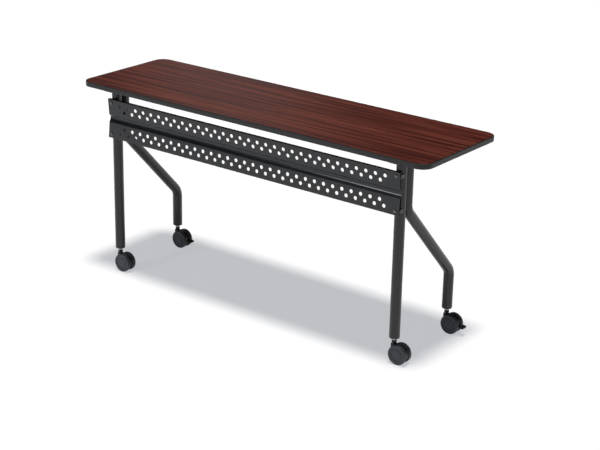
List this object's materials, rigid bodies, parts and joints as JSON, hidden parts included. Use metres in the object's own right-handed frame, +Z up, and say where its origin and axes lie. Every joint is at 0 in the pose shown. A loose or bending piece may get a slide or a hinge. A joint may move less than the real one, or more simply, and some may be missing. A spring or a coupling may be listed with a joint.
{
  "type": "flip top training table",
  "caption": "Long narrow training table with a flip-up mahogany laminate top, bent tube legs, a perforated modesty panel and swivel twin-wheel casters.",
  "frame": {"origin": "on the floor under the middle of the closed top", "axes": "+X along the table's length, +Y from the modesty panel to the user's side, +Z up"},
  "size_m": [1.524, 0.4444, 0.7366],
  "materials": {
    "mahogany_laminate": "mahogany-grain high pressure laminate, satin",
    "chipboard": "chipboard core",
    "edge_band": "black flexible edge band, satin",
    "black_frame": "black powder coat, fine texture",
    "panel_steel": "black powder coat on perforated sheet steel",
    "zinc_steel": "bright zinc plate",
    "screw_steel": "dark grey pan-head screw",
    "black_plastic": "moulded black nylon",
    "caster_plastic": "moulded black nylon, satin",
    "pad_rubber": "black rubber"
  },
  "bodies": {
    "frame": {"modesty_panel": "panel_steel", "left_front_leg": "black_frame", "left_rear_leg": "black_frame", "left_head_plate": "black_frame", "left_leg_tie": "black_frame", "left_hinge_frame_leaf": "black_frame", "left_hinge_pin": "zinc_steel", "left_rest_pad": "pad_rubber", "left_upper_standoff": "black_frame", "left_upper_panel_screw": "screw_steel", "left_lower_standoff": "black_frame", "left_lower_panel_screw": "screw_steel", "right_front_leg": "black_frame", "right_rear_leg": "black_frame", "right_head_plate": "black_frame", "right_leg_tie": "black_frame", "right_hinge_frame_leaf": "black_frame", "right_hinge_pin": "zinc_steel", "right_rest_pad": "pad_rubber", "right_upper_standoff": "black_frame", "right_upper_panel_screw": "screw_steel", "right_lower_standoff": "black_frame", "right_lower_panel_screw": "screw_steel", "left_front_leg_plug": "black_plastic", "left_front_caster_stem": "zinc_steel", "right_front_leg_plug": "black_plastic", "right_front_caster_stem": "zinc_steel", "left_rear_leg_plug": "black_plastic", "left_rear_caster_stem": "zinc_steel", "right_rear_leg_plug": "black_plastic", "right_rear_caster_stem": "zinc_steel"},
    "top": {"tabletop_board": "chipboard", "top_laminate": "mahogany_laminate", "edge_band": "edge_band", "left_hinge_top_leaf": "black_frame", "left_rod_bracket": "black_plastic", "right_hinge_top_leaf": "black_frame", "right_rod_bracket": "black_plastic"},
    "release_bar": {"release_rod": "zinc_steel", "release_paddle": "black_plastic", "left_latch_hook": "zinc_steel", "right_latch_hook": "zinc_steel"},
    "left_front_caster": {"left_front_caster_hood": "caster_plastic", "left_front_caster_axle": "zinc_steel"},
    "left_front_wheel_a": {"left_front_wheel_a": "caster_plastic"},
    "left_front_wheel_b": {"left_front_wheel_b": "caster_plastic"},
    "right_front_caster": {"right_front_caster_hood": "caster_plastic", "right_front_caster_axle": "zinc_steel"},
    "right_front_wheel_a": {"right_front_wheel_a": "caster_plastic"},
    "right_front_wheel_b": {"right_front_wheel_b": "caster_plastic"},
    "left_rear_caster": {"left_rear_caster_hood": "caster_plastic", "left_rear_caster_axle": "zinc_steel"},
    "left_rear_wheel_a": {"left_rear_wheel_a": "caster_plastic"},
    "left_rear_wheel_b": {"left_rear_wheel_b": "caster_plastic"},
    "left_rear_brake": {"left_rear_brake_lever": "caster_plastic"},
    "right_rear_caster": {"right_rear_caster_hood": "caster_plastic", "right_rear_caster_axle": "zinc_steel"},
    "right_rear_wheel_a": {"right_rear_wheel_a": "caster_plastic"},
    "right_rear_wheel_b": {"right_rear_wheel_b": "caster_plastic"},
    "right_rear_brake": {"right_rear_brake_lever": "caster_plastic"}
  },
  "joints": [
    {"name": "top_flip", "type": "hinge", "parent": "frame", "child": "top", "pos_m": [0, -0.195, 0.712], "axis": [1, 0, 0], "range_deg": [0, 90]},
    {"name": "release_turn", "type": "hinge", "parent": "top", "child": "release_bar", "pos_m": [0, -0.0744, 0.704], "axis": [1, 0, 0], "range_deg": [-14, 10], "stiffness_Nm_per_rad": 2},
    {"name": "left_front_swivel", "type": "hinge", "parent": "frame", "child": "left_front_caster", "pos_m": [-0.635, -0.165, 0.08], "axis": [0, 0, 1], "continuous": true},
    {"name": "left_front_roll_a", "type": "hinge", "parent": "left_front_caster", "child": "left_front_wheel_a", "pos_m": [-0.611, -0.165, 0.035], "axis": [0, 1, 0], "continuous": true},
    {"name": "left_front_roll_b", "type": "hinge", "parent": "left_front_caster", "child": "left_front_wheel_b", "pos_m": [-0.611, -0.165, 0.035], "axis": [0, 1, 0], "continuous": true},
    {"name": "right_front_swivel", "type": "hinge", "parent": "frame", "child": "right_front_caster", "pos_m": [0.635, -0.165, 0.08], "axis": [0, 0, 1], "continuous": true},
    {"name": "right_front_roll_a", "type": "hinge", "parent": "right_front_caster", "child": "right_front_wheel_a", "pos_m": [0.659, -0.165, 0.035], "axis": [0, 1, 0], "continuous": true},
    {"name": "right_front_roll_b", "type": "hinge", "parent": "right_front_caster", "child": "right_front_wheel_b", "pos_m": [0.659, -0.165, 0.035], "axis": [0, 1, 0], "continuous": true},
    {"name": "left_rear_swivel", "type": "hinge", "parent": "frame", "child": "left_rear_caster", "pos_m": [-0.635, 0.161, 0.08], "axis": [0, 0, 1], "continuous": true},
    {"name": "left_rear_roll_a", "type": "hinge", "parent": "left_rear_caster", "child": "left_rear_wheel_a", "pos_m": [-0.611, 0.161, 0.035], "axis": [0, 1, 0], "continuous": true},
    {"name": "left_rear_roll_b", "type": "hinge", "parent": "left_rear_caster", "child": "left_rear_wheel_b", "pos_m": [-0.611, 0.161, 0.035], "axis": [0, 1, 0], "continuous": true},
    {"name": "left_rear_brake_press", "type": "hinge", "parent": "left_rear_caster", "child": "left_rear_brake", "pos_m": [-0.587, 0.161, 0.033], "axis": [0, 1, 0], "range_deg": [0, 15]},
    {"name": "right_rear_swivel", "type": "hinge", "parent": "frame", "child": "right_rear_caster", "pos_m": [0.635, 0.161, 0.08], "axis": [0, 0, 1], "continuous": true},
    {"name": "right_rear_roll_a", "type": "hinge", "parent": "right_rear_caster", "child": "right_rear_wheel_a", "pos_m": [0.659, 0.161, 0.035], "axis": [0, 1, 0], "continuous": true},
    {"name": "right_rear_roll_b", "type": "hinge", "parent": "right_rear_caster", "child": "right_rear_wheel_b", "pos_m": [0.659, 0.161, 0.035], "axis": [0, 1, 0], "continuous": true},
    {"name": "right_rear_brake_press", "type": "hinge", "parent": "right_rear_caster", "child": "right_rear_brake", "pos_m": [0.683, 0.161, 0.033], "axis": [0, 1, 0], "range_deg": [0, 15]}
  ]
}
